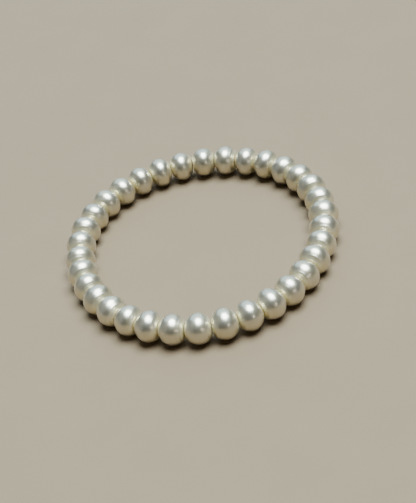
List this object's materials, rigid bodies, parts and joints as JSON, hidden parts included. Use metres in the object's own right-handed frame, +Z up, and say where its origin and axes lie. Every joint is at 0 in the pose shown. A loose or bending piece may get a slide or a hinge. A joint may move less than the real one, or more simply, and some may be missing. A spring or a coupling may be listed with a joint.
{
  "type": "pearl bracelet",
  "caption": "Stretch bracelet of drilled, slightly flattened pearls threaded side by side in a closed loop on an elastic cord, lying flat.",
  "frame": {"origin": "on the surface that the bracelet lies on, under the middle of the loop", "axes": "+Z up from the surface, +Y from the front of the loop to its back along its longer way across, +X to the right seen from the front"},
  "size_m": [0.0622, 0.068, 0.0069],
  "materials": {
    "nacre": "cream-white pearl nacre, smooth with a soft satin lustre and a cool sheen",
    "elastic": "clear stretch cord, smooth and slightly cloudy"
  },
  "bodies": {
    "root": {"pearl_01": "nacre", "pearl_02": "nacre", "pearl_03": "nacre", "pearl_04": "nacre", "pearl_05": "nacre", "pearl_06": "nacre", "pearl_07": "nacre", "pearl_08": "nacre", "pearl_09": "nacre", "pearl_10": "nacre", "pearl_11": "nacre", "pearl_12": "nacre", "pearl_13": "nacre", "pearl_14": "nacre", "pearl_15": "nacre", "pearl_16": "nacre", "pearl_17": "nacre", "pearl_18": "nacre", "pearl_19": "nacre", "pearl_20": "nacre", "pearl_21": "nacre", "pearl_22": "nacre", "pearl_23": "nacre", "pearl_24": "nacre", "pearl_25": "nacre", "pearl_26": "nacre", "pearl_27": "nacre", "pearl_28": "nacre", "pearl_29": "nacre", "pearl_30": "nacre", "pearl_31": "nacre", "pearl_32": "nacre", "pearl_33": "nacre", "pearl_34": "nacre", "elastic_cord": "elastic"}
  },
  "joints": []
}
